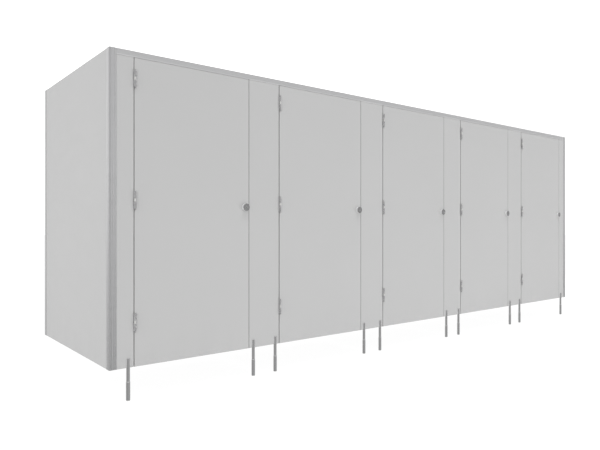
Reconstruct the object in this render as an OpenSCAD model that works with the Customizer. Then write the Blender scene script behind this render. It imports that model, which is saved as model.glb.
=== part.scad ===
// A row of five toilet cubicles with a flush front.
// Coordinates are laid out from the front left corner: X runs along the row, Y runs
// back to the wall, Z is up from the floor. The front faces of doors and pilasters
// lie at Y = 0. place() then moves the origin to the middle of the row's footprint.

/* [Row] */
// Door width
door_w = 800; // [700:10:860]
// Width of the pilasters between two doors
pilaster_w = 249; // [220:1:300]
// From the outer corner of the row to the door edge of an end pilaster
end_w = 145; // [140:1:200]
// Gap at the hinge side of a door
hinge_gap = 5; // [4.5:0.5:6]
// Gap above a door, under the headrail
door_gap = 1; // [1:0.5:3]
// Gap at the lock side of a door
lock_gap = 3; // [2.5:0.5:5]
// Depth of the cubicles, front face to wall
depth = 1360; // [1200:10:1700]

/* [Heights] */
// Clearance between the floor and the panels
clearance = 190; // [170:5:220]
// Height of the front panels below the headrail
panel_h = 1815; // [1790:5:1900]
// Height of the headrail
rail_h = 35; // [32:1:45]

/* [Panels] */
// Thickness of the solid laminate
panel_t = 13; // [12.5:0.5:13.5]
// Chamfer along the upright edges of doors and pilasters
edge_c = 0.8; // [0.4:0.1:1.2]

/* [Profiles] */
// Length of each arm of the corner profiles
corner_w = 43; // [40:1:50]
// Radius of the outer corner of the corner profiles
corner_r = 8; // [6:1:10]
// Wall thickness of the aluminium profiles
wall = 1.8; // [1.5:0.1:1.9]

/* [Legs] */
// Diameter of the leg bar
leg_d = 21; // [20:0.5:22]
// Outer diameter of the sleeve round the foot
sleeve_d = 24; // [23.5:0.5:28]
// Height of the sleeve's top edge above the floor
sleeve_top = 110; // [90:1:120]
// How far the leg reaches up the front of the pilaster
leg_grip = 55; // [45:1:70]
// From a pilaster's door edge to the middle of its leg
leg_in = 33; // [26:1:36]

/* [Hinges] */
// Height of each hinge
hinge_h = 102; // [90:2:120]
// Diameter of the hinge barrel
barrel_d = 13; // [12:0.5:14]
// Diameter of the hinge pin
pin_d = 6; // [5:0.5:7]
// Height of the lowest hinge above the bottom of the door
hinge_z1 = 262; // [200:1:300]
// Height of the middle hinge above the bottom of the door
hinge_z2 = 978; // [850:1:1100]
// Height of the top hinge above the bottom of the door
hinge_z3 = 1690; // [1600:1:1720]

/* [Lock] */
// Diameter of the outside knob
knob_d = 52; // [48:1:56]
// From the door's edge to the middle of the knob
backset = 32; // [30:1:38]
// Height of the knob above the bottom of the door
lock_h = 951; // [900:1:960]
// Reach of the latch arm from the middle of the spindle
latch_l = 74; // [70:1:76]

/* [Hidden] */

panel_grey = [0.78, 0.78, 0.78];
profile_grey = [0.69, 0.69, 0.70];
steel_grey = [0.58, 0.58, 0.59];
dark_grey = [0.36, 0.36, 0.37];

pitch = door_w + pilaster_w + hinge_gap + lock_gap;          // one cubicle to the next
row_w = 2 * end_w + 5 * door_w + 4 * pilaster_w + 5 * (hinge_gap + lock_gap);
z0 = clearance;                                 // bottom of all panels
z1 = clearance + panel_h;                       // bottom of the headrail
z2 = z1 + rail_h;                               // top of everything
slack = 0.2;                                    // between a panel and its channel
lip = wall + slack;                             // profile face in front of a panel face
groove = panel_t + 2 * slack;
rail_d = groove + 2 * wall;                     // depth of the headrail
chan_w = groove + 2 * wall;                     // width of the channels
chan_d = 38;                                    // depth of the channels
stud_room = 12;                                 // between a channel's web and its panel
panel_y = corner_w - 25;                        // where an end panel starts behind the corner
front_y = 18;                                   // where a partition starts
knob_front = 22;                                // how far the knob stands out
axis_y = -10;                                   // hinge axis, in front of the door's edge
leaf_t = 2;                                     // thickness of the hinge leaves
leaf_w = 17;                                    // from the door's edge to the door leaf's far edge
bush_h = 8.6;                                   // height of each half of the nylon bush
eye_h = 5;                                      // height of the frame leaf's eye
eye_r = barrel_d / 2 - 1.6;                     // radius of the eye, inside the bush
fit = 0.05;                                     // radial clearance on a pin or spindle
rose_t = 3.6;                                   // thickness of the inner rose
arm_y = panel_t + 4;                            // near face of the latch arm
arm_t = 3.5;                                    // thickness of the latch arm
bore_z = 125;                                   // top of the bore for the foot's stud

function door_x(k) = end_w + hinge_gap + (k - 1) * pitch;      // left edge of door k
function pil_x(k) = door_x(k) + door_w + lock_gap;            // left edge of pilaster k
function part_x(k) = pil_x(k) + pilaster_w / 2;          // middle of partition k
function hinge_x(k) = door_x(k);                         // hinge axis of door k
function lock_x(k) = door_x(k) + door_w - backset;       // spindle of door k
hinge_z = [z0 + hinge_z1, z0 + hinge_z2, z0 + hinge_z3];
lock_z = z0 + lock_h;
leg_x = concat([for (k = [1:5]) door_x(k) - hinge_gap - leg_in],
               [for (k = [1:5]) pil_x(k) + leg_in]);
leg_screw_z = [z0 + 15, z0 + 40];
fix_z = [z0 + 110, z0 + panel_h / 2, z1 - 110];          // heights of the panel screws
knob_screw = 11.5;                                         // lock screws above and below

module place() { translate([-row_w / 2, -(depth - knob_front) / 2, 0]) children(); }
module mirrored(right) {
    if (right) translate([row_w, 0, 0]) mirror([1, 0, 0]) children();
    else children();
}
module rod_y(r, y0, y1, x, z) { translate([x, y1, z]) rotate([90, 0, 0]) cylinder(r = r, h = y1 - y0, $fn = 48); }
module rod_x(r, x0, x1, y, z) { translate([x0, y, z]) rotate([0, 90, 0]) cylinder(r = r, h = x1 - x0, $fn = 48); }

// A pan-head screw that points along +Y from the plane y, into the material
module screw_y(x, y, z, l = 11, r = 2) {
    difference() {
        union() {
            rod_y(r, y, y + l, x, z);
            translate([x, y, z]) rotate([90, 0, 0]) cylinder(r1 = 2 * r, r2 = 1.5 * r, h = 1.1 * r, $fn = 48);
        }
        translate([x, y - 1.15 * r, z]) rotate([-90, 0, 0]) cylinder(r = 0.7 * r, h = 0.6 * r, $fn = 6);
    }
}

// ---- places of the channels and the length of the screws in them ----
function chan_x(i) = i == 0 ? lip + panel_t / 2 : (i == 5 ? row_w - lip - panel_t / 2 : part_x(i));
screw_len = wall + slack + 9;

// ---------------------------------------------------------------- panels
// a front board: width w along X, height h, its front face at Y = 0, upright edges chamfered
module board(x, w, h) {
    c = edge_c;
    t = panel_t;
    translate([x, 0, z0]) linear_extrude(h)
        polygon([[c, 0], [w - c, 0], [w, c], [w, t - c], [w - c, t], [c, t], [0, t - c], [0, c]]);
}
// blind holes for the screws that come through the leg of a channel
module channel_holes(i, y) {
    s = i == 5 ? -1 : 1;
    for (z = fix_z) {
        xa = chan_x(i) + s * (panel_t / 2 + 1);
        xb = chan_x(i) + s * (panel_t / 2 - 9.6);
        rod_x(2.1, min(xa, xb), max(xa, xb), y, z);
    }
}

module end_panel(right) {
    mirrored(right) difference() {
        translate([lip, panel_y, z0]) cube([panel_t, depth - wall - stud_room - panel_y, z2 - z0]);
        for (z = fix_z) {
            rod_x(2.1, lip + 3.4, lip + panel_t + 1, corner_w - 8, z);
            rod_x(2.1, lip + 3.4, lip + panel_t + 1, depth - 25, z);
        }
    }
}
module left_end_panel() { color(panel_grey) end_panel(false); }
module right_end_panel() { color(panel_grey) end_panel(true); }

module partition(k) {
    color(panel_grey) difference() {
        translate([part_x(k) - panel_t / 2, front_y, z0]) cube([panel_t, depth - wall - stud_room - front_y, z2 - z0]);
        channel_holes(k, depth - 25);
        channel_holes(k, panel_t + chan_d - 13);
    }
}
module partition_1() { partition(1); }
module partition_2() { partition(2); }
module partition_3() { partition(3); }
module partition_4() { partition(4); }

// holes common to every pilaster: legs, frame leaves of the hinges, headrail
module leg_holes(x) { for (z = leg_screw_z) rod_y(2.6, -1, panel_t + 1, x, z); }
module leaf_holes(x) {
    for (h = hinge_z, s = [-1, 1]) rod_x(1.85, x - 26, x + 1, panel_t / 2, h + s * 30);
}
module rail_hole(x) { rod_y(2.1, panel_t - 9.6, panel_t + 1, x, z1 + 10); }

module end_pilaster(right) {
    mirrored(right) difference() {
        board(panel_y, end_w - panel_y, z1 + 17.5 - z0);
        leg_holes(end_w - leg_in);
        if (!right) leaf_holes(end_w);
        if (right) keep_holes(end_w, -1);
        for (x = [70, end_w - 25]) rail_hole(x);
        for (z = fix_z) rod_y(2.1, panel_t - 9.6, panel_t + 1, corner_w - 8, z);
    }
}
module left_end_pilaster() { color(panel_grey) end_pilaster(false); }
module right_end_pilaster() { color(panel_grey) end_pilaster(true); }

module pilaster(k) {
    x = pil_x(k);
    color(panel_grey) difference() {
        board(x, pilaster_w, z1 + 17.5 - z0);
        leg_holes(x + leg_in);
        leg_holes(x + pilaster_w - leg_in);
        leaf_holes(x + pilaster_w);
        keep_holes(x, 1);
        for (dx = [35, pilaster_w - 35]) rail_hole(x + dx);
        for (z = fix_z) rod_y(2.1, panel_t - 9.6, panel_t + 1, x + pilaster_w / 2, z - 60);
    }
}
module pilaster_1() { pilaster(1); }
module pilaster_2() { pilaster(2); }
module pilaster_3() { pilaster(3); }
module pilaster_4() { pilaster(4); }

// ---------------------------------------------------------------- profiles
module rail_section() {
    difference() {
        translate([-lip, z1]) square([rail_d, rail_h]);
        translate([-slack, z1 - 1]) square([groove, 19]);                     // groove over the pilasters
        translate([-slack, z1 + 18 + wall]) square([groove, rail_h - 18 - 2 * wall]); // hollow above it
    }
}
cap_t = 1.5;
module headrail() {
    color(profile_grey) difference() {
        translate([corner_w, 0, 0]) rotate([90, 0, 90]) linear_extrude(row_w - 2 * corner_w) rail_section();
        for (x = rail_screw_x) rod_y(2.1, panel_t, panel_t + 4, x, z1 + 10);
    }
}
rail_screw_x = concat([70, end_w - 25, row_w - 70, row_w - end_w + 25],
    [for (k = [1:4], dx = [35, pilaster_w - 35]) pil_x(k) + dx]);

module corner_outline() {
    a = lip + groove + wall - slack;        // inner face of an arm
    intersection() {
        translate([corner_r, corner_r - lip]) circle(r = corner_r, $fn = 96);
        translate([0, -lip]) square([corner_r, corner_r]);
    }
    translate([corner_r, -lip]) square([corner_w - corner_r, a]);
    translate([0, corner_r - lip]) square([a, corner_w - corner_r]);
}
// cap on top of a corner profile, with a plug in its hollow; the end panel passes through it
module corner_cap() {
    translate([0, 0, z2 - cap_t]) linear_extrude(cap_t) difference() {
        corner_outline();
        translate([lip - slack, panel_y - 0.5]) square([groove, corner_w]);
    }
    translate([8.5, 6.5, z2 - cap_t - 12]) cylinder(r = 4.8, h = 12.1, $fn = 48);
}
module corner_caps() { color(profile_grey) for (r = [false, true]) mirrored(r) corner_cap(); }

module corner_section() {
    difference() {
        corner_outline();
        translate([panel_y - 0.5, -slack]) square([corner_w, groove]);         // takes the end pilaster
        translate([lip - slack, panel_y - 0.5]) square([groove, corner_w]);    // takes the end panel
        translate([8.5, 6.5]) circle(r = 5, $fn = 48);                         // hollow of the corner post
        translate([corner_r + 1.3, -lip]) polygon([[-0.9, -0.1], [0.9, -0.1], [0, 0.9]]);   // fine groove beside the corner
        translate([0, corner_r + 1.3 - lip]) polygon([[-0.1, -0.9], [-0.1, 0.9], [0.9, 0]]);
    }
}
module corner_profile() {
    difference() {
        translate([0, 0, z0]) linear_extrude(z2 - cap_t - z0) corner_section();
        for (z = fix_z) {
            rod_y(2.1, panel_t, panel_t + 4, corner_w - 8, z);
            rod_x(2.1, lip + panel_t, lip + panel_t + 4, corner_w - 8, z);
        }
    }
}
module left_corner_profile() { color(profile_grey) corner_profile(); }
module right_corner_profile() { color(profile_grey) mirrored(true) corner_profile(); }

// U channel with its web at y and its legs towards the direction s
module channel(x, y, s, top) {
    difference() {
        translate([x - chan_w / 2, s > 0 ? y : y - chan_d, z0]) cube([chan_w, chan_d, top - z0]);
        translate([x - groove / 2, s > 0 ? y + wall : y - wall - chan_d, z0 - 1]) cube([groove, chan_d, top - z0 + 2]);
    }
}
wall_hole_z = [z0 + 60, z0 + 60 + 1500];
module wall_channels() {
    color(profile_grey) for (i = [0:5]) difference() {
        channel(chan_x(i), depth, -1, z2);
        for (z = wall_hole_z) rod_y(3.25, depth - 3, depth + 1, chan_x(i), z);
        for (z = fix_z) {
            s = i == 0 || i < 5 ? 1 : -1;
            xa = chan_x(i) + s * panel_t / 2;
            xb = chan_x(i) + s * (panel_t / 2 + 4);
            rod_x(2.1, min(xa, xb), max(xa, xb), depth - 25, z);
        }
    }
}
module pilaster_channels() {
    color(profile_grey) for (k = [1:4]) difference() {
        channel(part_x(k), panel_t, 1, z1 - 2);
        for (z = fix_z) {
            rod_y(2.1, panel_t - 1, panel_t + 3, part_x(k), z - 60);
            rod_x(2.1, part_x(k) + panel_t / 2, part_x(k) + panel_t / 2 + 4, panel_t + chan_d - 13, z);
        }
    }
}

// ---------------------------------------------------------------- door stops and keeps
strip_in = 18;    // width on the pilaster
strip_out = 12;   // from the pilaster's edge to the strip's free edge, over the gap and the door
module door_stop_strips() {
    color([0.88, 0.88, 0.87]) for (k = [1:5]) translate([pil_x(k), 0, z0 + 2]) {
        translate([0, panel_t, 0]) cube([strip_in, 3, panel_h - 6]);
        translate([-strip_out, panel_t + 0.5, 0]) cube([strip_out + 0.1, 2.5, panel_h - 6]);
    }
}
keep_x = 20;      // from the pilaster's edge to the keep
keep_screws = [[15, -26], [25, 17]];      // the upper one is outside the sweep of the latch arm
module keep_holes(x, s) {
    for (p = keep_screws) rod_y(2.1, panel_t - 9.6, panel_t + 1, x + s * (keep_x + p[0]), lock_z + p[1]);
}
module lock_keeps() {
    color(steel_grey) for (k = [1:5]) translate([pil_x(k) + keep_x, panel_t, lock_z]) difference() {
        union() {
            translate([0, 0, -34]) cube([30, 2, 58]);
            translate([0, 0, -16]) cube([30, 10.5, 8]);
            translate([0, 8.5, -16]) cube([30, 2, 26]);
        }
        for (p = keep_screws) rod_y(2.1, -1, 4, p[0], p[1]);
    }
}

// ---------------------------------------------------------------- legs
module leg_bars() {
    color(steel_grey) for (x = leg_x) difference() {
        translate([x, 0, 12]) cylinder(d = leg_d, h = z0 + leg_grip - 12, $fn = 64);
        translate([x - 20, 0, z0]) cube([40, 20, 100]);                       // seat for the panel
        translate([x, 0, 11]) cylinder(r = 5.1, h = bore_z - 11, $fn = 48);     // bore for the foot
        for (z = leg_screw_z) rod_y(2.6, -7, 1, x, z);
        translate([x, 0, z0 + leg_grip]) rotate_extrude($fn = 64) translate([leg_d / 2 - 1, -1]) difference() {
            square([2, 2]);
            circle(r = 1, $fn = 32);
        }
    }
}
module leg_sleeves() {
    color(steel_grey) for (x = leg_x) translate([x, 0, 0]) rotate_extrude($fn = 64)
        polygon([[leg_d / 2 + 0.1, 5], [sleeve_d / 2, 5], [sleeve_d / 2, sleeve_top - 1.2],
                 [leg_d / 2 + 0.5, sleeve_top], [leg_d / 2 + 0.1, sleeve_top]]);
}
module leg_feet() {
    color(steel_grey) for (x = leg_x) translate([x, 0, 0]) rotate_extrude($fn = 64)
        polygon([[0, 2], [sleeve_d / 2 - 1, 2], [sleeve_d / 2, 3], [sleeve_d / 2, 5], [leg_d / 2 - 1, 5],
                 [leg_d / 2 - 1, 8], [5, 8], [5, 118], [4, 119], [0, 119]]);
}
module leg_pads() {
    color([0.2, 0.2, 0.2]) for (x = leg_x) translate([x, 0, 0]) cylinder(d = sleeve_d - 2.5, h = 2, $fn = 64);
}
module leg_screws() {
    color(steel_grey) for (x = leg_x, z = leg_screw_z) mirror([0, 1, 0]) screw_y(x, -panel_t, z, 18.5, 2.5);
}

// ---------------------------------------------------------------- hinges
module frame_leaf(k, z) {
    x = hinge_x(k);
    p = x - hinge_gap;                                      // edge of the pilaster
    difference() {
        union() {
            translate([p, 0, z - hinge_h / 2]) cube([leaf_t, panel_t, hinge_h]);
            translate([p, axis_y + 0.2, z - eye_h / 2]) cube([leaf_t, -axis_y, eye_h]);
            translate([x, axis_y, z - eye_h / 2]) cylinder(r = eye_r, h = eye_h, $fn = 64);
        }
        translate([x, axis_y, z - eye_h]) cylinder(r = pin_d / 2 + fit, h = 2 * eye_h, $fn = 48);
        for (s = [-1, 1]) {
            rod_x(1.85, p - 1, x + 1, panel_t / 2, z + s * 30);
            translate([p + 0.2, panel_t / 2, z + s * 30]) rotate([0, 90, 0]) cylinder(r1 = 1.85, r2 = 3.75, h = 1.9, $fn = 48);
        }
    }
}
module hinge_frame_leaves() { color(steel_grey) for (k = [1:5], z = hinge_z) frame_leaf(k, z); }

module hinge_frame_screws() {
    color(steel_grey) for (k = [1:5], z = hinge_z, s = [-1, 1]) {
        x = hinge_x(k) - hinge_gap;
        rod_x(1.75, x - 25, x + 0.6, panel_t / 2, z + s * 30);
        translate([x + 0.5, panel_t / 2, z + s * 30]) rotate([0, 90, 0]) cylinder(r1 = 1.75, r2 = 3.2, h = 1.4, $fn = 48);
    }
}
module hinge_pins() {
    color(dark_grey) for (k = [1:5], z = hinge_z) translate([hinge_x(k), axis_y, z]) rotate_extrude($fn = 64)
        polygon([[0, -hinge_h / 2 - 8.3], [pin_d / 2 + 0.5, -hinge_h / 2 - 8.3], [pin_d / 2 + 1.5, -hinge_h / 2 - 7.3],
                 [pin_d / 2 + 1.5, -hinge_h / 2 - 0.3], [pin_d / 2, -hinge_h / 2 - 0.3], [pin_d / 2, hinge_h / 2 + 0.3],
                 [pin_d / 2 + 1.5, hinge_h / 2 + 0.3], [pin_d / 2 + 1.5, hinge_h / 2 + 1.3], [pin_d / 2, hinge_h / 2 + 2.3],
                 [0, hinge_h / 2 + 2.3]]);
}
// the two halves of the bush close round the eye of the frame leaf, with a slot for its arm
module hinge_bushes() {
    color("white") for (k = [1:5], z = hinge_z, s = [0, 1])
        translate([hinge_x(k), axis_y, z]) difference() {
            translate([0, 0, s ? 0.05 : -bush_h]) cylinder(d = barrel_d - 0.6, h = bush_h - 0.05, $fn = 64);
            translate([0, 0, -bush_h - 1]) cylinder(r = pin_d / 2 + fit, h = 2 * bush_h + 2, $fn = 48);
            translate([0, 0, -eye_h / 2 - 0.05]) cylinder(r = eye_r + 0.05, h = eye_h + 0.1, $fn = 64);
            translate([-barrel_d, 0, -eye_h / 2 - 0.05]) cube([barrel_d - hinge_gap + leaf_t + 0.05, barrel_d, eye_h + 0.1]);
        }
}
leaf_z = bush_h + 0.2;                     // where the door leaf's knuckles start
leaf_screw_z = [leaf_z + 10, hinge_h / 2 - 10];
leaf_screw_x = 11;                               // from the door's edge
module door_leaf(k, z) {
    x = hinge_x(k);
    strap_x = x + barrel_d / 2 - leaf_t;                    // straps run back from the knuckles to the door
    difference() {
        union() {
            for (s = [0, 1]) translate([x, axis_y, s ? z + leaf_z : z - hinge_h / 2])
                cylinder(d = barrel_d, h = hinge_h / 2 - leaf_z, $fn = 64);
            for (s = [0, 1]) translate([strap_x, 0, s ? z + leaf_z : z - hinge_h / 2]) {
                translate([0, axis_y, 0]) cube([leaf_t, -axis_y, hinge_h / 2 - leaf_z]);
                translate([0, -leaf_t, 0]) cube([x + leaf_w - strap_x, leaf_t, hinge_h / 2 - leaf_z]);
            }
            translate([x + leaf_w - 6, -leaf_t, z - hinge_h / 2]) cube([6, leaf_t, hinge_h]);
        }
        translate([x, axis_y, z - hinge_h]) cylinder(r = pin_d / 2 + fit, h = 2 * hinge_h, $fn = 48);
        for (h = leaf_screw_z, s = [-1, 1]) {
            rod_y(2.1, -leaf_t - 1, 1, x + leaf_screw_x, z + s * h);
            translate([x + leaf_screw_x, -0.2, z + s * h]) rotate([90, 0, 0]) cylinder(r1 = 2.1, r2 = 4.1, h = 1.9, $fn = 48);
        }
    }
}
module hinge_leaves(k) { color(steel_grey) for (z = hinge_z) door_leaf(k, z); }
module hinge_leaves_1() { hinge_leaves(1); }
module hinge_leaves_2() { hinge_leaves(2); }
module hinge_leaves_3() { hinge_leaves(3); }
module hinge_leaves_4() { hinge_leaves(4); }
module hinge_leaves_5() { hinge_leaves(5); }

// ---------------------------------------------------------------- doors
module door(k) {
    color(panel_grey) difference() {
        board(door_x(k), door_w, panel_h - door_gap);
        for (z = hinge_z, h = leaf_screw_z, s = [-1, 1]) rod_y(2.1, -1, 10, hinge_x(k) + leaf_screw_x, z + s * h);
        rod_y(4.4, -1, panel_t + 1, lock_x(k), lock_z);
        for (s = [-1, 1]) rod_y(2.1, -1, panel_t + 1, lock_x(k), lock_z + s * knob_screw);
    }
}
module door_1() { door(1); }
module door_2() { door(2); }
module door_3() { door(3); }
module door_4() { door(4); }
module door_5() { door(5); }

// countersunk screws of the three hinge leaves, and the two through screws of the lock
module door_screws(k) {
    color(steel_grey) {
        for (z = hinge_z, h = leaf_screw_z, s = [-1, 1]) {
            rod_y(2, -0.6, 9.5, hinge_x(k) + leaf_screw_x, z + s * h);
            translate([hinge_x(k) + leaf_screw_x, -0.5, z + s * h]) rotate([90, 0, 0]) difference() {
                cylinder(r1 = 2, r2 = 3.6, h = 1.4, $fn = 48);
                translate([0, 0, 0.6]) cylinder(r = 1.4, h = 2, $fn = 6);
            }
        }
        for (s = [-1, 1]) mirror([0, 1, 0]) screw_y(lock_x(k), -panel_t - rose_t + 2.3, lock_z + s * knob_screw, 16.5, 2);
    }
}
module door_screws_1() { door_screws(1); }
module door_screws_2() { door_screws(2); }
module door_screws_3() { door_screws(3); }
module door_screws_4() { door_screws(4); }
module door_screws_5() { door_screws(5); }

// ---------------------------------------------------------------- lock
// outside knob, a waisted drum round the spindle; the inner rose is a second solid
knob_edge = 1.6;                                 // radius of the knob's front edge
waist_r = 12;                                    // radius of the hollow curve of its waist
module knob(k) {
    color(dark_grey) translate([lock_x(k), 0, lock_z]) {
        difference() {
            rotate([90, 0, 0]) rotate_extrude($fn = 96) difference() {
                union() {
                    difference() {
                        square([knob_d / 2, knob_front - knob_edge]);
                        translate([knob_d / 2 - 4 + waist_r, 8.5]) circle(r = waist_r, $fn = 96);     // waist for the fingers
                        translate([knob_d / 2 - 1.6, -1]) square([5, 3]);                            // set in at the foot
                    }
                    square([knob_d / 2 - knob_edge, knob_front]);
                    translate([knob_d / 2 - knob_edge, knob_front - knob_edge]) circle(r = knob_edge, $fn = 48);
                }
                translate([-1, -1]) square([1 + 4 + fit, 50]);                  // bore for the spindle
                translate([-1, knob_front - 3]) square([10, 5]);              // seat of the coin disc
                translate([-10, -10]) square([10, 60]);
            }
            for (s = [-1, 1]) rod_y(2.1, -2.8, 1, 0, s * knob_screw);
        }
        difference() {
            rod_y(18, panel_t, panel_t + rose_t, 0, 0);
            rod_y(4 + fit, panel_t - 1, panel_t + rose_t + 1, 0, 0);
            for (s = [-1, 1]) {
                rod_y(2.1, panel_t - 1, panel_t + rose_t + 1, 0, s * knob_screw);
                rod_y(4.3, panel_t + rose_t - 2.3, panel_t + rose_t + 1, 0, s * knob_screw);
            }
        }
    }
}
module knob_1() { knob(1); }
module knob_2() { knob(2); }
module knob_3() { knob(3); }
module knob_4() { knob(4); }
module knob_5() { knob(5); }

// spindle with the inside wing, and the coin disc that closes the knob's front
wing_y = arm_y + arm_t;
module thumbturn(k) {
    color(steel_grey) translate([lock_x(k), 0, lock_z]) {
        rod_y(4, -knob_front + 2.4, arm_y, 0, 0);
        translate([-3.9, arm_y - 0.1, -3.9]) cube([7.8, arm_t + 0.2, 7.8]);
        rod_y(11, wing_y, wing_y + 5, 0, 0);
        for (s = [-1, 1]) rod_y(4.5, wing_y + 4, wing_y + 20, 0, s * 17);
        translate([-4.5, wing_y + 4, -17]) cube([9, 16, 34]);
        difference() {
            rod_y(8.5, -knob_front + 0.2, -knob_front + 2.4, 0, 0);
            translate([-1, -knob_front - 1, -6]) cube([2, 2.4, 12]);
        }
    }
}
module thumbturn_1() { thumbturn(1); }
module thumbturn_2() { thumbturn(2); }
module thumbturn_3() { thumbturn(3); }
module thumbturn_4() { thumbturn(4); }
module thumbturn_5() { thumbturn(5); }

// latch arm: upright when the lock is open, level in the keep when it is shut
module latch(k) {
    color(steel_grey) translate([lock_x(k), 0, lock_z]) difference() {
        union() {
            rod_y(12, arm_y, arm_y + arm_t, 0, 0);
            translate([-7, arm_y, 0]) cube([14, arm_t, latch_l - 7]);
            rod_y(7, arm_y, arm_y + arm_t, 0, latch_l - 7);
        }
        translate([-4, arm_y - 1, -4]) cube([8, arm_t + 2, 8]);
    }
}
module latch_1() { latch(1); }
module latch_2() { latch(2); }
module latch_3() { latch(3); }
module latch_4() { latch(4); }
module latch_5() { latch(5); }

// ---------------------------------------------------------------- screws of the frame
module screw_x(x, y, z, s) {
    translate([x, y, z]) rotate([0, 0, s > 0 ? 90 : -90]) screw_y(0, 0, 0, screw_len, 2);
}
module panel_screws() {
    color(steel_grey) {
        for (i = [0:5], z = fix_z)                                             // rear channels to panels
            screw_x(chan_x(i) + (i < 5 ? 1 : -1) * (chan_w / 2), depth - 25, z, i < 5 ? 1 : -1);
        for (k = [1:4], z = fix_z) {
            screw_x(part_x(k) + chan_w / 2, panel_t + chan_d - 13, z, 1);      // front channels to partitions
            mirror([0, 1, 0]) screw_y(part_x(k), -panel_t - wall, z - 60, wall + 9);   // front channels to pilasters
        }
        for (r = [false, true], z = fix_z) mirrored(r) {
            screw_x(lip + groove - slack + wall, corner_w - 8, z, 1);          // corner profile to end panel
            mirror([0, 1, 0]) screw_y(corner_w - 8, -(groove - slack + wall), z, screw_len);   // and to end pilaster
        }
        for (x = rail_screw_x) mirror([0, 1, 0]) screw_y(x, -(groove - slack + wall), z1 + 10, screw_len);
        for (k = [1:5], p = keep_screws)                                       // keeps to pilasters
            mirror([0, 1, 0]) screw_y(pil_x(k) + keep_x + p[0], -panel_t - 2, lock_z + p[1], 11);
    }
}

place() left_end_panel();
place() right_end_panel();
place() partition_1();
place() partition_2();
place() partition_3();
place() partition_4();
place() left_end_pilaster();
place() right_end_pilaster();
place() pilaster_1();
place() pilaster_2();
place() pilaster_3();
place() pilaster_4();
place() headrail();
place() corner_caps();
place() left_corner_profile();
place() right_corner_profile();
place() wall_channels();
place() pilaster_channels();
place() door_stop_strips();
place() lock_keeps();
place() leg_bars();
place() leg_sleeves();
place() leg_feet();
place() leg_pads();
place() hinge_frame_leaves();
place() hinge_pins();
place() hinge_bushes();
place() panel_screws();
place() leg_screws();
place() hinge_frame_screws();
place() door_1();
place() door_2();
place() door_3();
place() door_4();
place() door_5();
place() hinge_leaves_1();
place() hinge_leaves_2();
place() hinge_leaves_3();
place() hinge_leaves_4();
place() hinge_leaves_5();
place() door_screws_1();
place() door_screws_2();
place() door_screws_3();
place() door_screws_4();
place() door_screws_5();
place() knob_1();
place() knob_2();
place() knob_3();
place() knob_4();
place() knob_5();
place() thumbturn_1();
place() thumbturn_2();
place() thumbturn_3();
place() thumbturn_4();
place() thumbturn_5();
place() latch_1();
place() latch_2();
place() latch_3();
place() latch_4();
place() latch_5();
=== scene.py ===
import math

import bpy
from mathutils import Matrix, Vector


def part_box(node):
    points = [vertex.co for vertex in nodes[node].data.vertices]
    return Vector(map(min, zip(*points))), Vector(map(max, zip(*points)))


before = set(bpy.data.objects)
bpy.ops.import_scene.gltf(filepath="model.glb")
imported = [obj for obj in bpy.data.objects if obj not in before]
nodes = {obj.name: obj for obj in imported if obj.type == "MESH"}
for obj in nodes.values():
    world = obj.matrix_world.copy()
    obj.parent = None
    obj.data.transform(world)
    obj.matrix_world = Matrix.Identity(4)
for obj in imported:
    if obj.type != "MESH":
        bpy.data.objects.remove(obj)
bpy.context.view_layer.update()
scene = bpy.context.scene

# ------------------------------------------------------------------ camera
# The place and angle of the photograph: level, so that upright edges stay upright.
# outer front left corner of the row on the floor, in the plane of the doors
CORNER = Vector((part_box("left_corner_profile")[0][0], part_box("door_1")[0][1], 0.0))
cam_data = bpy.data.cameras.new("camera")
cam_data.sensor_width = 36.0
cam_data.lens = 33.756
cam = bpy.data.objects.new("camera", cam_data)
cam.location = CORNER + Vector((-1.148, -3.184, 1.019))
cam.rotation_euler = (math.radians(90), 0, math.radians(-38.579))
cam_data.clip_end = 200
cam_data.shift_y = 0.0007
scene.collection.objects.link(cam)
scene.camera = cam

scene.view_settings.view_transform = "Standard"
scene.view_settings.look = "None"
scene.view_settings.exposure = 0.0
scene.view_settings.gamma = 1.0


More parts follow.
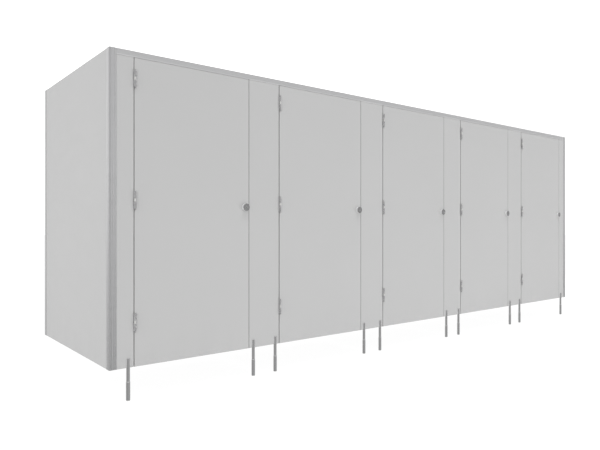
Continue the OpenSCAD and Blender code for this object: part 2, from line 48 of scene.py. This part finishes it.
# ------------------------------------------------------------------ material helpers
class Mat:
    """A node material with one Principled shader and small helpers to feed it."""

    def __init__(self, name, colour, rough, metallic=0.0, **sockets):
        self.m = bpy.data.materials.new(name)
        self.m.use_nodes = True
        self.t = self.m.node_tree
        self.p = self.t.nodes["Principled BSDF"]
        self.p.inputs["Base Color"].default_value = (*colour, 1)
        self.p.inputs["Roughness"].default_value = rough
        self.p.inputs["Metallic"].default_value = metallic
        for k, v in sockets.items():
            self.p.inputs[k.replace("_", " ")].default_value = v
        self.colour = colour
        self.coord = self.t.nodes.new("ShaderNodeTexCoord")

    def link(self, a, b):
        self.t.links.new(a, b)

    def node(self, kind, **settings):
        n = self.t.nodes.new(kind)
        for k, v in settings.items():
            setattr(n, k, v)
        return n

    def place(self, scale, source="Object", location=(0, 0, 0)):
        m = self.node("ShaderNodeMapping")
        m.inputs["Scale"].default_value = scale
        m.inputs["Location"].default_value = location
        self.link(self.coord.outputs[source], m.inputs["Vector"])
        return m.outputs["Vector"]

    def noise(self, scale=(1, 1, 1), detail=2.0, rough=0.5, source="Object"):
        n = self.node("ShaderNodeTexNoise")
        n.inputs["Scale"].default_value = 1.0
        n.inputs["Detail"].default_value = detail
        n.inputs["Roughness"].default_value = rough
        self.link(self.place(scale, source), n.inputs["Vector"])
        return n.outputs["Fac"]

    def ramp(self, fac, lo, hi, a=0.0, b=1.0):
        """A value that goes from lo to hi as fac goes from a to b."""
        r = self.node("ShaderNodeMapRange")
        r.inputs["From Min"].default_value = a
        r.inputs["From Max"].default_value = b
        r.inputs["To Min"].default_value = lo
        r.inputs["To Max"].default_value = hi
        self.link(fac, r.inputs["Value"])
        return r.outputs["Result"]

    def math(self, op, a, b):
        n = self.node("ShaderNodeMath", operation=op)
        for i, v in enumerate((a, b)):
            if isinstance(v, (int, float)):
                n.inputs[i].default_value = v
            else:
                self.link(v, n.inputs[i])
        return n.outputs[0]

    def mix(self, fac, a, b):
        n = self.node("ShaderNodeMix", data_type="RGBA")
        if isinstance(fac, (int, float)):
            n.inputs[0].default_value = fac
        else:
            self.link(fac, n.inputs[0])
        for i, v in ((6, a), (7, b)):
            if isinstance(v, tuple):
                n.inputs[i].default_value = (*v[:3], 1)
            else:
                self.link(v, n.inputs[i])
        return n.outputs[2]

    def base(self, out):
        self.link(out, self.p.inputs["Base Color"])

    def rough(self, out):
        self.link(out, self.p.inputs["Roughness"])

    def bump(self, height, strength, distance):
        b = self.node("ShaderNodeBump")
        b.inputs["Strength"].default_value = strength
        b.inputs["Distance"].default_value = distance
        self.link(height, b.inputs["Height"])
        self.link(b.outputs["Normal"], self.p.inputs["Normal"])


def scaled(c, k):
    return tuple(x * k for x in c)


# ------------------------------------------------------------------ laminate
def laminate(name, colour, sheen=0.35):
    """Light grey solid laminate with a fine pearl texture, faint handling marks and a duller foot."""
    m = Mat(name, colour, 0.5, Specular_IOR_Level=sheen)
    speck = m.noise((900, 900, 900), 2, 0.6)
    cloud = m.noise((1.3, 1.3, 1.3), 3, 0.55)
    fine = m.mix(m.ramp(speck, 0, 1, 0.3, 0.7), scaled(colour, 0.975), scaled(colour, 1.02))
    tone = m.mix(m.ramp(cloud, 0, 1, 0.35, 0.65), scaled(colour, 0.985), scaled(colour, 1.01))
    both = m.mix(0.5, fine, tone)
    z = m.node("ShaderNodeSeparateXYZ")
    m.link(m.coord.outputs["Object"], z.inputs[0])
    smear = m.noise((7, 7, 2.2), 4, 0.6)
    foot = m.ramp(z.outputs["Z"], 1, 0, 0.19, 0.42)           # 1 at the bottom edge
    # In the laminate this mask is scuffing only: a darker, rougher foot in patches.
    foot_scuff_and_shade = m.math("MULTIPLY", foot, m.ramp(smear, 0, 1, 0.45, 0.75))
    m.base(m.mix(m.math("MULTIPLY", foot_scuff_and_shade, 0.35), both, scaled(colour, 0.9)))
    wipe = m.noise((3.1, 3.1, 9), 5, 0.65)
    m.rough(m.math("ADD", m.ramp(wipe, 0.44, 0.56, 0.3, 0.7), m.math("MULTIPLY", foot_scuff_and_shade, 0.08)))
    m.bump(m.noise((520, 520, 520), 3, 0.6), 0.12, 0.0004)
    return m.m


def core(name, across):
    """The pressed dark core that shows on the cut edges of the laminate, in thin layers."""
    c = (0.16, 0.155, 0.15)
    m = Mat(name, c, 0.4, Specular_IOR_Level=0.45)
    k = 2400
    s = (k, 3, 3) if across == "X" else (3, k, 3)
    layers = m.noise(s, 1, 0.5)
    grain = m.noise((260, 260, 260), 3, 0.6)
    a = m.mix(m.ramp(layers, 0, 1, 0.35, 0.65), scaled(c, 0.75), scaled(c, 1.25))
    m.base(m.mix(m.math("MULTIPLY", grain, 0.3), a, scaled(c, 0.6)))
    m.rough(m.ramp(grain, 0.34, 0.5, 0.3, 0.7))
    m.bump(layers, 0.1, 0.0003)
    return m.m


# ------------------------------------------------------------------ metals and plastics
def aluminium(name, colour, along, rough=0.34, metallic=0.5, foot_scuff_and_shade=1.0, corner=None, lip_highlight=None):
    """Satin anodised extrusion: fine die lines along its length and a soft, uneven sheen.
    The last three arguments paint light into its colour: how much of its brightness is left at the foot
    (painted shade, darker towards the floor), how much on its outer round corner (painted shade that
    tones down its reflection there), and how much more on its lower edge (a painted highlight), the last
    two each with where that is in metres."""
    m = Mat(name, colour, rough, metallic, Specular_IOR_Level=0.4)
    s = {"X": (1.2, 900, 900), "Z": (900, 900, 1.2), "Y": (900, 1.2, 900)}[along]
    lines = m.noise(s, 2, 0.6)
    cloud = m.noise((5, 5, 5), 3, 0.5)
    a = m.mix(m.ramp(lines, 0, 1, 0.3, 0.7), scaled(colour, 0.94), scaled(colour, 1.05))
    a = m.mix(m.math("MULTIPLY", cloud, 0.25), a, scaled(colour, 0.95))
    z = m.node("ShaderNodeSeparateXYZ")
    m.link(m.coord.outputs["Object"], z.inputs[0])
    # Painted shade: the outer round corner is darker, to tone down the highlight it catches.
    if corner:
        out = m.math("ABSOLUTE", z.outputs["X"], 0)
        a = m.mix(m.ramp(out, 0, 1, corner[1] - 0.003, corner[1] + 0.003), a, scaled(colour, corner[0]))
    # Painted highlight: the lower edge is lighter, as if it caught light from the floor.
    if lip_highlight:
        a = m.mix(m.ramp(z.outputs["Z"], 1, 0, lip_highlight[1] + 0.002, lip_highlight[1] + 0.008), a, scaled(colour, lip_highlight[0]))
    # Painted shade: the colour darkens towards the foot, standing in for the darker floor the metal reflects low
    # down.
    if foot_scuff_and_shade < 1:
        a = m.mix(m.ramp(z.outputs["Z"], 1, 0, 0.19, 1.35), a, scaled(colour, foot_scuff_and_shade))
    m.base(a)
    m.rough(m.math("ADD", m.ramp(lines, rough - 0.05, rough + 0.05, 0.3, 0.7), m.ramp(cloud, -0.03, 0.03, 0.3, 0.7)))
    m.bump(lines, 0.15, 0.0002)
    return m.m


def steel(name, colour, brushed, rough=0.3, metallic=1.0):
    """Brushed stainless steel. brushed is the way the lines run: round, up, across or spun."""
    m = Mat(name, colour, rough, metallic)
    if brushed == "spun":
        g = m.node("ShaderNodeSeparateXYZ")
        m.link(m.coord.outputs["Generated"], g.inputs[0])
        dx, dz = m.math("SUBTRACT", g.outputs["X"], 0.5), m.math("SUBTRACT", g.outputs["Z"], 0.5)
        r = m.math("SQRT", m.math("ADD", m.math("MULTIPLY", dx, dx), m.math("MULTIPLY", dz, dz)), 0)
        cmb = m.node("ShaderNodeCombineXYZ")
        m.link(m.math("MULTIPLY", r, 170), cmb.inputs[0])
        m.link(m.math("MULTIPLY", g.outputs["Y"], 60), cmb.inputs[1])
        n = m.node("ShaderNodeTexNoise")
        n.inputs["Scale"].default_value = 1.0
        n.inputs["Detail"].default_value = 2.0
        m.link(cmb.outputs[0], n.inputs["Vector"])
        lines = n.outputs["Fac"]
    else:
        s = {"round": (25, 25, 1500), "up": (1500, 1500, 12), "across": (12, 1500, 1500)}[brushed]
        lines = m.noise(s, 2, 0.6)
    marks = m.noise((38, 38, 38), 4, 0.6)
    a = m.mix(m.ramp(lines, 0, 1, 0.3, 0.7), scaled(colour, 0.9), scaled(colour, 1.07))
    m.base(m.mix(m.math("MULTIPLY", marks, 0.2), a, scaled(colour, 0.9)))
    m.rough(m.math("ADD", m.ramp(lines, rough - 0.06, rough + 0.06, 0.3, 0.7), m.ramp(marks, -0.04, 0.05, 0.3, 0.7)))
    m.bump(lines, 0.2, 0.0001)
    return m.m


def plastic(name, colour, rough, grain=300, depth=0.0001, sheen=0.5):
    m = Mat(name, colour, rough, Specular_IOR_Level=sheen)
    g = m.noise((grain, grain, grain), 3, 0.6)
    big = m.noise((6, 6, 6), 3, 0.5)
    a = m.mix(m.ramp(g, 0, 1, 0.3, 0.7), scaled(colour, 0.95), scaled(colour, 1.04))
    m.base(m.mix(m.math("MULTIPLY", big, 0.3), a, scaled(colour, 0.95)))
    m.rough(m.ramp(g, rough - 0.06, rough + 0.06, 0.3, 0.7))
    m.bump(g, 0.25, depth)
    return m.m


# The end panels and partitions are the same laminate as the doors: painted light, SIDE is a slightly lighter copy of
# FRONT, and lam_side has less sheen.
FRONT = (0.4355, 0.4355, 0.4355)
SIDE = (0.441, 0.441, 0.441)
lam_front = laminate("laminate_front", FRONT)
lam_side = laminate("laminate_side", SIDE, 0.15)
core_front = core("laminate_core_front", "Y")
core_side = core("laminate_core_side", "X")
# The rail's lower edge carries a painted highlight.
alu_rail = aluminium("aluminium_rail", (0.585, 0.585, 0.591), "X", lip_highlight=(1.2, 2.005))
# The post carries painted shade at its foot and on its outer round corner.
alu_post = aluminium("aluminium_post", (0.55, 0.55, 0.556), "Z", 0.3, 0.5, 0.74, corner=(0.89, 2.654))
alu_channel = aluminium("aluminium_channel", (0.5, 0.5, 0.505), "Z")
leg_steel = steel("leg_steel", (0.92, 0.92, 0.926), "round", 0.2)
hinge_steel = steel("hinge_steel", (0.88, 0.88, 0.887), "up", 0.24, 0.94)
leaf_steel = steel("leaf_steel", (0.61, 0.61, 0.616), "up", 0.34, 0.5)
frame_steel = steel("frame_leaf_steel", (0.62, 0.62, 0.626), "up", 0.3)
pin_steel = steel("pin_steel", (0.74, 0.74, 0.747), "round", 0.26)
screw_steel = steel("screw_steel", (0.88, 0.88, 0.885), "spun", 0.26)
lock_steel = steel("lock_steel", (0.88, 0.88, 0.887), "across", 0.24)
knob_steel = steel("knob_steel", (0.76, 0.76, 0.766), "spun", 0.22)
nylon = plastic("white_nylon", (0.5, 0.5, 0.489), 0.4)
coat = plastic("satin_coat", (0.66, 0.66, 0.665), 0.34, 700, 0.00005)
strip = plastic("stop_strip", (0.7, 0.7, 0.69), 0.55, 500)
rubber = plastic("pad_rubber", (0.5, 0.5, 0.49), 0.8, 900, 0.0003, 0.3)


def dress(names, *mats, normal=None):
    """Give CAD nodes their material. With normal, faces along that axis take the first, others the second."""
    for n in names:
        o = nodes[n]
        o.data.materials.clear()
        for m in mats:
            o.data.materials.append(m)
        for poly in o.data.polygons:
            poly.material_index = 0
            if normal is not None and len(mats) > 1 and abs(poly.normal[normal]) < 0.6:
                poly.material_index = 1


K5, K4 = range(1, 6), range(1, 5)
dress(["left_end_pilaster", "right_end_pilaster", *(f"pilaster_{k}" for k in K4), *(f"door_{k}" for k in K5)],
      lam_front, core_front, normal=1)
dress(["left_end_panel", "right_end_panel", *(f"partition_{k}" for k in K4)], lam_side, core_side, normal=0)
dress(["headrail"], alu_rail)
dress(["left_corner_profile", "right_corner_profile", "corner_caps"], alu_post)
dress(["wall_channels", "pilaster_channels"], alu_channel)
dress(["leg_bars", "leg_sleeves", "leg_feet"], leg_steel)
dress(["leg_pads"], rubber)
dress(["hinge_frame_leaves"], frame_steel)
dress(["hinge_pins"], pin_steel)
dress(["hinge_bushes"], nylon)
dress(["door_stop_strips"], strip)
dress(["panel_screws", "leg_screws", "hinge_frame_screws", *(f"door_screws_{k}" for k in K5)], screw_steel)
dress(["lock_keeps", *(f"latch_{k}" for k in K5)], lock_steel)
FRONT_Y = CORNER.y


def dress_by_depth(names, front, rest, y):
    """Faces that lie in front of the plane y take the first material, the others the second."""
    for n in names:
        me = nodes[n].data
        me.materials.clear()
        me.materials.append(front)
        me.materials.append(rest)
        for poly in me.polygons:
            poly.material_index = 0 if poly.center.y < y else 1


# the barrels are polished, and the flat leaves satin
dress_by_depth([f"hinge_leaves_{k}" for k in K5], hinge_steel, leaf_steel, FRONT_Y - 0.0035)
dress_by_depth([f"thumbturn_{k}" for k in K5], knob_steel, lock_steel, FRONT_Y - 0.0195)
dress_by_depth([f"knob_{k}" for k in K5], knob_steel, coat, FRONT_Y - 0.0213)


# A helper for fine rounded edges on the CAD pieces, as modifiers, so that their meshes stay as they are. Nothing
# here calls it.
def soften(names, width, segments=2, angle=35):
    for n in names:
        o = nodes[n]
        w = o.modifiers.new("join", "WELD")
        w.merge_threshold = 0.00001
        b = o.modifiers.new("edges", "BEVEL")
        b.width = width
        b.segments = segments
        b.limit_method = "ANGLE"
        b.angle_limit = math.radians(angle)
        b.harden_normals = False


# ------------------------------------------------------------------ floor, world and lights
def stage_floor():
    mesh = bpy.data.meshes.new("floor")
    r = 60.0
    mesh.from_pydata([(-r, -r, 0), (r, -r, 0), (r, r, 0), (-r, r, 0)], [], [(0, 1, 2, 3)])
    o = bpy.data.objects.new("floor", mesh)
    scene.collection.objects.link(o)
    o.location.z = -0.0005
    m = bpy.data.materials.new("floor")
    m.use_nodes = True
    t = m.node_tree
    t.nodes.clear()
    out = t.nodes.new("ShaderNodeOutputMaterial")
    add = t.nodes.new("ShaderNodeAddShader")
    em = t.nodes.new("ShaderNodeEmission")
    em.inputs["Color"].default_value = (1, 1, 1, 1)
    em.inputs["Strength"].default_value = 0.93
    df = t.nodes.new("ShaderNodeBsdfDiffuse")
    df.inputs["Color"].default_value = (0.1, 0.1, 0.1, 1)
    t.links.new(em.outputs[0], add.inputs[0])
    t.links.new(df.outputs[0], add.inputs[1])
    t.links.new(add.outputs[0], out.inputs["Surface"])
    o.data.materials.append(m)
    o.visible_glossy = False
    return o


floor = stage_floor()

world = bpy.data.worlds.new("studio")
scene.world = world
world.use_nodes = True
wt = world.node_tree
bg = wt.nodes["Background"]
bg.inputs["Color"].default_value = (1, 1, 1, 1)
# A white studio, brighter behind the row than in front of it. What shines sees a greyer room,
# which brightens behind and overhead.
wc = wt.nodes.new("ShaderNodeTexCoord")
ws = wt.nodes.new("ShaderNodeSeparateXYZ")
wt.links.new(wc.outputs["Generated"], ws.inputs[0])


def step(axis, a, b, lo, hi):
    r = wt.nodes.new("ShaderNodeMapRange")
    r.interpolation_type = "SMOOTHSTEP"
    for k, v in (("From Min", a), ("From Max", b), ("To Min", lo), ("To Max", hi)):
        r.inputs[k].default_value = v
    wt.links.new(ws.outputs[axis], r.inputs["Value"])
    return r.outputs["Result"]


def join(operation, a, b):
    n = wt.nodes.new("ShaderNodeMath")
    n.operation = operation
    wt.links.new(a, n.inputs[0])
    wt.links.new(b, n.inputs[1])
    return n.outputs[0]


# Less light comes grazing from the right, so that knobs and hinges throw no dark rim to their left.
path = wt.nodes.new("ShaderNodeLightPath")
unseen = wt.nodes.new("ShaderNodeMath")
unseen.operation = "SUBTRACT"
unseen.inputs[0].default_value = 1.0
wt.links.new(path.outputs["Is Camera Ray"], unseen.inputs[1])
grazing = join("MULTIPLY", step("X", 0.15, 0.6, 0.0, 1.0), step("Y", -0.1, 0.3, 1.0, 0.0))
lit = join("SUBTRACT", step("Y", 0.5, 0.85, 1.15, 1.45), join("MULTIPLY", grazing, unseen.outputs[0]))
behind = join("MULTIPLY", step("Y", 0.1, 0.9, 0.0, 0.5), step("Z", -0.24, 0.12, 0.0, 1.0))
across = join("ADD", step("X", 0.86, 1.0, 0.0, 0.14), step("X", -1.0, -0.5, -0.06, 0.0))
over = join("ADD", step("Y", 0.35, 0.95, 0.33, 0.5), step("Z", 0.45, 0.95, 0.0, 1.0))
shine = join("ADD", join("ADD", over, across), behind)
pick = wt.nodes.new("ShaderNodeMix")
# only for what the camera sees in the metal itself: light that the metal throws on is the room's own
first = wt.nodes.new("ShaderNodeMath")
first.operation = "LESS_THAN"
first.inputs[1].default_value = 0.5
wt.links.new(path.outputs["Diffuse Depth"], first.inputs[0])
seen = wt.nodes.new("ShaderNodeMath")
seen.operation = "MULTIPLY"
wt.links.new(path.outputs["Is Glossy Ray"], seen.inputs[0])
wt.links.new(first.outputs[0], seen.inputs[1])
wt.links.new(seen.outputs[0], pick.inputs[0])
wt.links.new(lit, pick.inputs[2])
wt.links.new(shine, pick.inputs[3])
wt.links.new(pick.outputs[0], bg.inputs["Strength"])


def area(name, location, target, size, power, height=None):
    """A soft light that shows neither to the camera nor in reflections."""
    d = bpy.data.lights.new(name, "AREA")
    d.shape = "DISK" if height is None else "RECTANGLE"
    d.size = size
    if height is not None:
        d.size_y = height
    d.energy = power
    o = bpy.data.objects.new(name, d)
    o.location = location
    o.rotation_euler = (Vector(target) - Vector(location)).to_track_quat("-Z", "Y").to_euler()
    o.visible_glossy = False
    o.visible_camera = False
    scene.collection.objects.link(o)
    return o


area("key", (-1.5, -12.0, 38.0), (-0.5, -0.6, 1.1), 4.6, 4000)
area("fill_left", (-7.2, 0.2, 2.2), (-2.6, 0, 1.1), 3.0, 21)
area("fill_right", (5.0, -7.0, 0.9), (2.4, 0, 0.9), 3.0, 124)
area("fill_front", (-3.0, -9.0, 1.2), (-2.2, 0, 1.0), 4.0, 77)
area("fill_end", (7.2, 0.2, 2.2), (2.6, 0, 1.1), 3.0, 60)
area("low_front", (-0.2, -2.9, 0.25), (-0.2, 0, 0.25), 6.0, 9.0, 0.3)
area("low_side", (-5.0, 0.0, 0.25), (0, 0, 0.25), 2.4, 7.6, 0.3)
